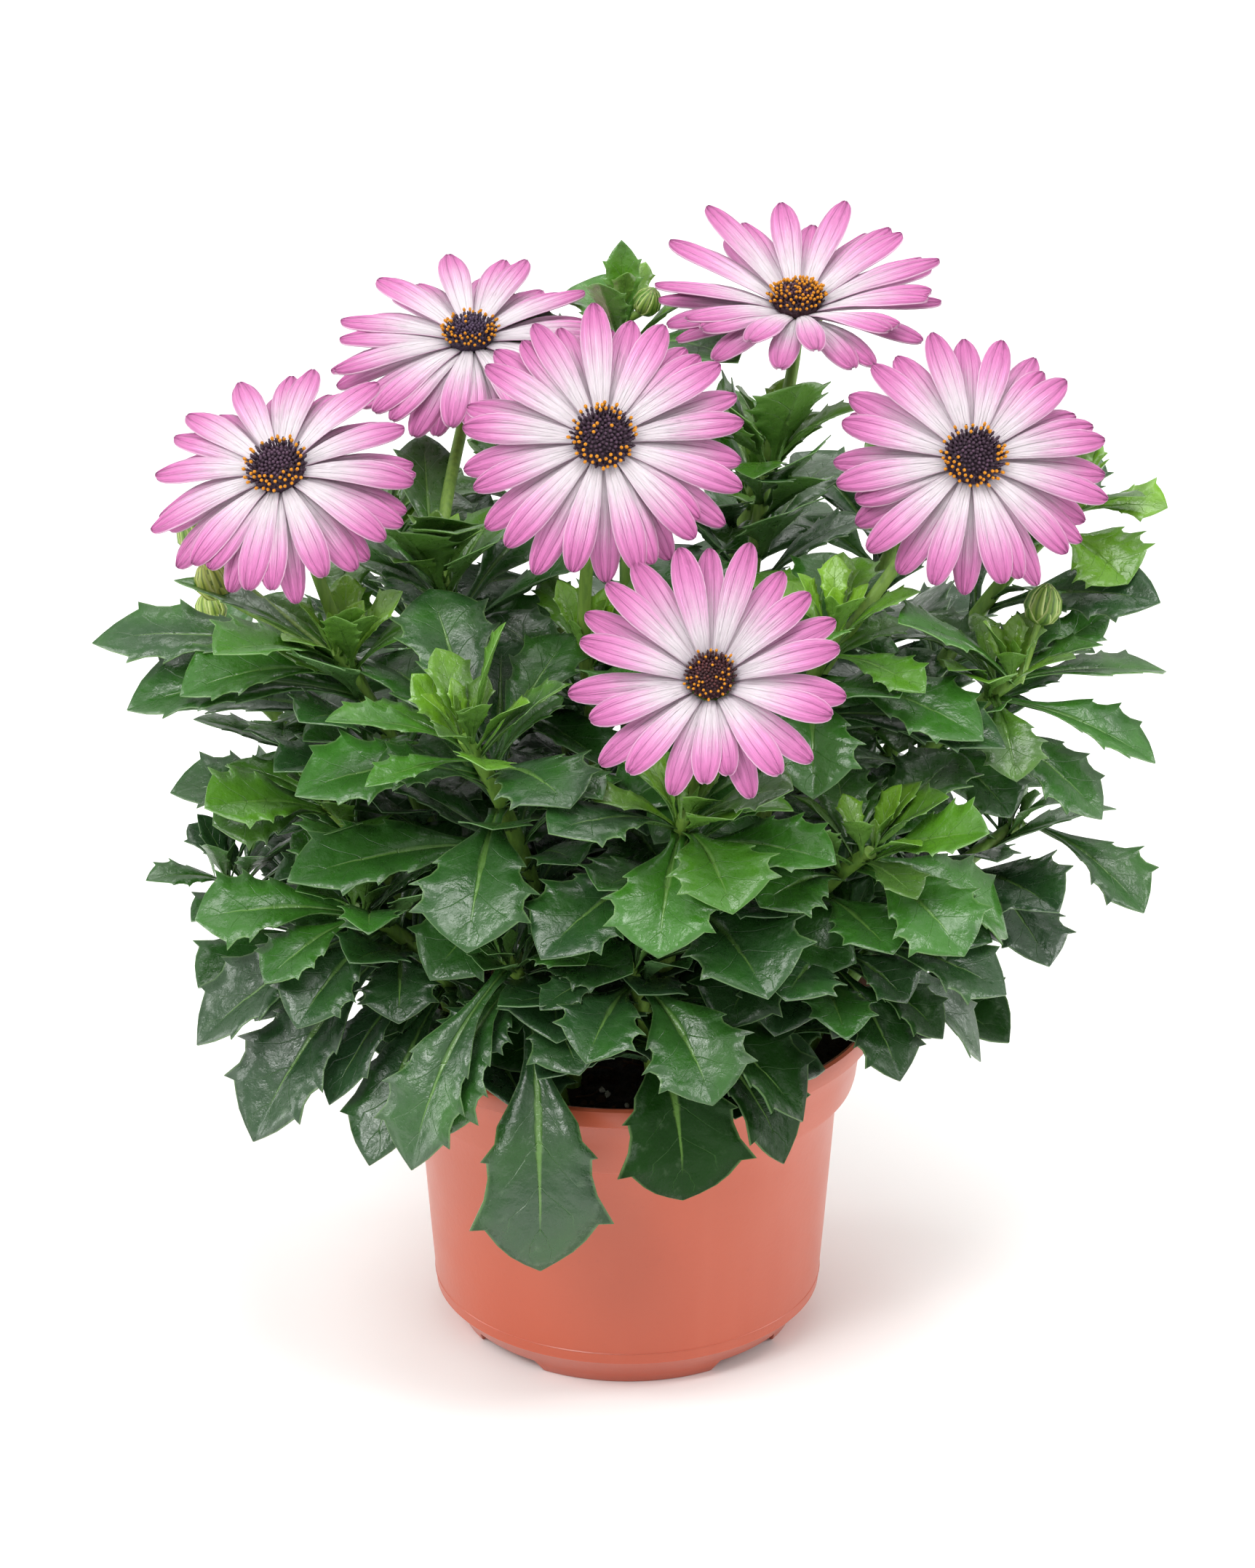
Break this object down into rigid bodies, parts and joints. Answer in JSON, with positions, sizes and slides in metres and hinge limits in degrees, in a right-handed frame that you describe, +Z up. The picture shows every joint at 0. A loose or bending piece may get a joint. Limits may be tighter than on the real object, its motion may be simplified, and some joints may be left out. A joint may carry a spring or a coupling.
{
  "type": "potted osteospermum",
  "caption": "Bushy African daisy plant with pink and white ray flowers, toothed dark green leaves and buds, in a round tapered terracotta-coloured nursery pot.",
  "frame": {"origin": "centre of the ring that the pot stands on, at the level of the surface it stands on", "axes": "+Z up along the pot's axis; -Y is the side that most of the blooms face; +X is to the right seen from -Y"},
  "size_m": [0.2713, 0.2052, 0.286],
  "materials": {
    "pot_plastic": "satin terracotta-coloured plastic",
    "potting_soil": "matte dark moist peat",
    "foliage": "satin green leaf and stem",
    "petal": "matte pink petal with a white inner half",
    "floret_disc": "matte dark purple florets with orange pollen"
  },
  "bodies": {
    "root": {"pot": "pot_plastic", "soil": "potting_soil", "bloom_left_petals": "petal", "bloom_left_disc": "floret_disc", "bloom_back_left_petals": "petal", "bloom_back_left_disc": "floret_disc", "bloom_middle_petals": "petal", "bloom_middle_disc": "floret_disc", "bloom_back_right_petals": "petal", "bloom_back_right_disc": "floret_disc", "bloom_right_petals": "petal", "bloom_right_disc": "floret_disc", "bloom_front_petals": "petal", "bloom_front_disc": "floret_disc", "shoot_front_left_high": "foliage", "shoot_front_left_low": "foliage", "shoot_front": "foliage", "shoot_front_right": "foliage", "shoot_right": "foliage", "shoot_middle_right": "foliage", "shoot_left": "foliage", "shoot_left_low": "foliage", "shoot_top": "foliage", "shoot_middle_back": "foliage", "shoot_right_back": "foliage", "shoot_middle_left": "foliage", "shoot_rim_left": "foliage", "shoot_rim_front": "foliage", "shoot_rim_right": "foliage", "shoot_middle": "foliage", "shoot_back_1": "foliage", "shoot_back_2": "foliage", "shoot_back_3": "foliage", "shoot_back_4": "foliage", "shoot_side_right": "foliage", "shoot_side_left": "foliage", "shoot_back_low_1": "foliage", "shoot_back_low_2": "foliage", "shoot_back_low_3": "foliage", "shoot_low_left": "foliage"}
  },
  "joints": []
}
